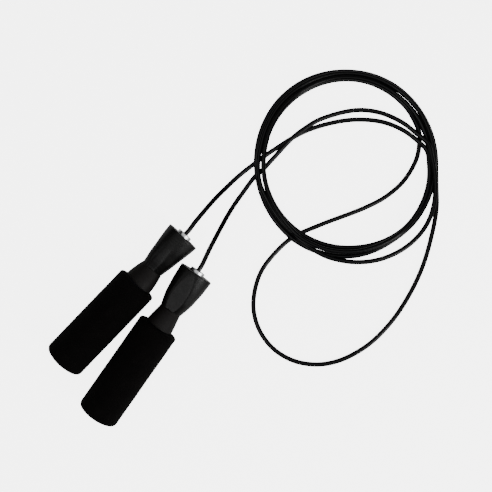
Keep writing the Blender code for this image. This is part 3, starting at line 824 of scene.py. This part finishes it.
GRIP_MOUTH = ((0.0, 0.8), (0.25, 0.2), (0.9, 0.0))    # the bore's cut edge: out and down, in millimetres
GRIP_POINTS = 160
GRIP_STEP = 1.2 * MM
FOAM_WAVES = ((55.0, 0.10), (520.0, 0.10))            # waves in a metre, and their height in millimetres
FOAM_SINK = 0.12 * MM                                 # keeps the waves from making the sleeve thicker
FOAM_SEEDS = {"a": (3.1, 7.7, 1.3), "b": (9.4, 2.2, 5.8)}


def grip_profile():
    """(radius, z) down the outside of the foam, from its open bore to the middle of its closed end."""
    top = -NOSE_LENGTH
    tip = top - GRIP_LENGTH
    bore = TUBE_RADIUS + SEAT_GAP
    rows = [(bore + out * MM, top - down * MM) for out, down in GRIP_MOUTH]
    rows.append((GRIP_RADIUS - GRIP_EDGE - 1.5 * MM, top))
    for k in range(7):
        turn = math.radians(90.0 * k / 6)
        rows.append((GRIP_RADIUS - GRIP_EDGE + GRIP_EDGE * math.sin(turn),
                     top - GRIP_EDGE + GRIP_EDGE * math.cos(turn)))
    rim = GRIP_RADIUS - GRIP_CORNER + GRIP_CORNER * math.cos(GRIP_CORNER_TURN)
    crown = rim / math.tan(GRIP_CORNER_TURN) / 2      # the dome's height, so that it goes on smoothly
    shoulder = tip + crown + GRIP_CORNER * math.sin(GRIP_CORNER_TURN)
    for z in np.arange(top - GRIP_EDGE - GRIP_STEP, shoulder + 0.4 * MM, -GRIP_STEP):
        rows.append((GRIP_RADIUS, z))
    for k in range(9):
        turn = GRIP_CORNER_TURN * k / 8
        rows.append((GRIP_RADIUS - GRIP_CORNER + GRIP_CORNER * math.cos(turn),
                     shoulder - GRIP_CORNER * math.sin(turn)))
    for share in np.linspace(0.92, 0.04, 12):
        rows.append((rim * share, tip + crown * share ** 2))
    return rows


def foam_grip(side, look):
    """The foam sleeve, a little uneven as cut and ground foam is."""
    bm = bmesh.new()
    bore = TUBE_RADIUS + SEAT_GAP
    bore_end = -NOSE_LENGTH - GRIP_LENGTH + GRIP_END_WALL - SEAT_GAP
    rings = [ring_of(bm, z, [radius] * GRIP_POINTS) for radius, z in [(bore, bore_end), *grip_profile()]]
    skin(bm, rings, False)
    seed = Vector(FOAM_SEEDS[side])
    for vert in bm.verts:
        if vert.co.xy.length < bore + SEAT_GAP and vert.co.z > bore_end - SEAT_GAP:
            continue
        waves = sum(noise.noise(vert.co * scale + seed) * height * MM for scale, height in FOAM_WAVES)
        vert.co += Vector((*vert.co.xy, 0.0)).normalized() * (waves - FOAM_SINK)
    made = finish_mesh(f"foam_sleeve_{side}", bm, [look], handle_frame(side), f"handle_{side}",
                       sharp=60.0)
    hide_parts(f"foam_grip_{side}")


# ---- Bearing --------------------------------------------------------------------------------------

OUTER_POINTS = 128
INNER_POINTS = 96                         # round the inner ring and each cover
RACE_ROUNDING = 0.06 * MM
COVER_ROUNDING = 0.03 * MM
# A cover's section, with a shallow pressed channel: radius and height in millimetres, outwards up.
COVER_SECTION = ((3.89, -0.17), (3.89, 0.17), (4.35, 0.17), (4.5, 0.07), (5.0, 0.07), (5.15, 0.17),
                 (5.46, 0.17), (5.46, -0.17))


def groove(land, side):
    """A ball groove's section, from edge to edge. side is 1 in the outer ring and -1 in the inner one."""
    half = math.acos(abs(land - PITCH_RADIUS) / GROOVE)
    turns = (half * (k / 4 - 1) for k in range(9))
    return [(PITCH_RADIUS + side * GROOVE * math.cos(t), GROOVE * math.sin(t)) for t in turns]


def bearing(side, steel, plated):
    """The rings and covers of a handle's bearing."""
    low, high = BEARING_BACK, BEARING_FACE
    outer = [(COVER_SEAT, low), (COVER_SEAT, low + COVER_STEP), (LAND_OUTER, low + COVER_STEP)]
    outer += groove(LAND_OUTER, 1)
    outer += [(LAND_OUTER, high - COVER_STEP), (COVER_SEAT, high - COVER_STEP),
              (COVER_SEAT + 0.1 * MM, high), (BEARING_RADIUS - RACE_CHAMFER, high),
              (BEARING_RADIUS, high - RACE_CHAMFER), (BEARING_RADIUS, low + RACE_CHAMFER),
              (BEARING_RADIUS - RACE_CHAMFER, low)]
    made = turned("bearing_outer_race", outer, steel, side, f"handle_{side}",
                  OUTER_POINTS, RACE_ROUNDING)
    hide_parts(f"bearing_outer_ring_{side}")
    inner = [(BORE_RADIUS, low + BORE_CHAMFER), (BORE_RADIUS, high - BORE_CHAMFER),
             (BORE_RADIUS + BORE_CHAMFER, high), (LAND_INNER, high)]
    inner += reversed(groove(LAND_INNER, -1))
    inner += [(LAND_INNER, low), (BORE_RADIUS + BORE_CHAMFER, low)]
    made = turned("bearing_inner_race", inner, steel, side, "rope",
                  INNER_POINTS, RACE_ROUNDING)
    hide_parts(f"bearing_inner_ring_{side}")
    for name, middle, way in (("front", high - COVER_INSET, 1), ("rear", low + COVER_INSET, -1)):
        rows = [(radius * MM, middle + way * z * MM) for radius, z in COVER_SECTION]
        made = turned(f"bearing_{name}_cover", rows, plated, side, f"handle_{side}",
                      INNER_POINTS, COVER_ROUNDING)
        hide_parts(f"bearing_{name}_shield_{side}")


def ball_set(side, look):
    """A bearing's balls, each a true sphere round the middle of its CAD ball."""
    bm = bmesh.new()
    balls = [f"bearing_ball_{side}{number}" for number in range(1, BALLS + 1)]
    for node in balls:
        low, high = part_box(node)
        middle = (Vector(low) + Vector(high)) / 2
        bmesh.ops.create_icosphere(bm, subdivisions=4, radius=BALL_RADIUS,
                                   matrix=Matrix.Translation(middle))
    made = finish_mesh(f"bearing_balls_{side}", bm, [look], Matrix(), f"balls_{side}")
    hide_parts(*balls)


def carried_over(plated, aluminium):
    """Materials for the sealed parts whose CAD shape is right."""
    for side in SIDES:
        looks = {f"bearing_cage_{side}": plated, f"stop_washer_{side}": plated,
                 f"cord_ferrule_{side}": aluminium}
        for node, look in looks.items():
            NODES[node].data.materials.clear()
            NODES[node].data.materials.append(look)


# ---- The whole rope -------------------------------------------------------------------------------

camera()
cord()
plastic = nose_material("moulded black plastic", (0.0045, 0.0042, 0.0042), (0.02, 0.02, 0.02),
                        roughness=0.34, grain=1500.0, depth=0.05 * MM)
neck_plastic = nose_material("grained black plastic", (0.0060, 0.0048, 0.0046), (0.018, 0.016, 0.015),
                             roughness=0.6, grain=1100.0, depth=0.12 * MM)
foam = foam_material()
steel = metal_material("polished bearing steel", (0.80, 0.81, 0.82), polished=0.24, dull=0.36)
plated = metal_material("zinc-plated steel", (0.62, 0.63, 0.64), polished=0.24, dull=0.42)
aluminium = metal_material("crimped aluminium", (0.80, 0.81, 0.82), polished=0.32, dull=0.50)
for side in SIDES:
    handle_nose(side, [plastic, neck_plastic])
    foam_grip(side, foam)
    bearing(side, steel, plated)
    ball_set(side, steel)
carried_over(plated, aluminium)
floor()
lights()
